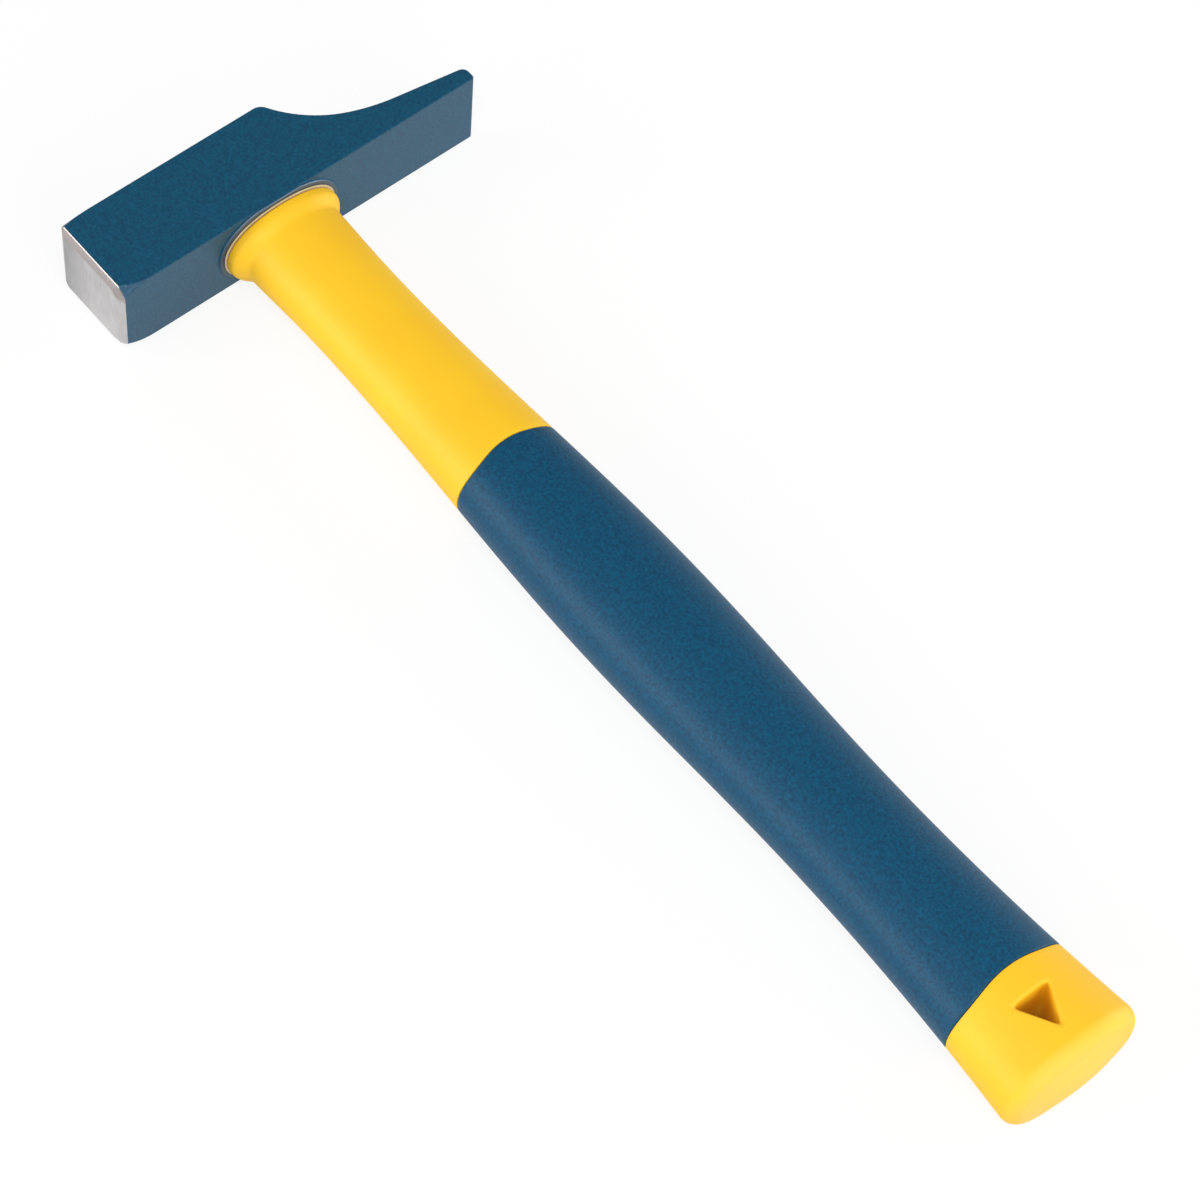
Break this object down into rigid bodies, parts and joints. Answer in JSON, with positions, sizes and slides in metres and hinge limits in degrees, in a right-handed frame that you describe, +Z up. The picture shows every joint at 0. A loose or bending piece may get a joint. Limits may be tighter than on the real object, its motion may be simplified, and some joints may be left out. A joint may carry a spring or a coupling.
{
  "type": "hammer",
  "caption": "Cross-pein hammer: painted steel head with a ground square face, bonded to a two-colour grip handle with a hang hole in the butt.",
  "frame": {"origin": "on the lower cheek of the head, under the centre of the eye and halfway up the head", "axes": "+X runs down the handle from the head to the butt, +Y from the striking face to the pein, and +Z up through the head from the lower cheek to the upper"},
  "size_m": [0.3559, 0.1219, 0.0294],
  "materials": {
    "head_paint": "satin paint over forged steel, with a bare ground striking face",
    "core_fibreglass": "pultruded glass fibre and resin",
    "bond_epoxy": "cured epoxy, cream",
    "jacket_plastic": "semi-gloss yellow polypropylene",
    "grip_rubber": "matt fine-grained thermoplastic rubber, blue"
  },
  "bodies": {
    "root": {"head": "head_paint", "core": "core_fibreglass", "bond": "bond_epoxy", "jacket": "jacket_plastic", "grip": "grip_rubber"}
  },
  "joints": []
}
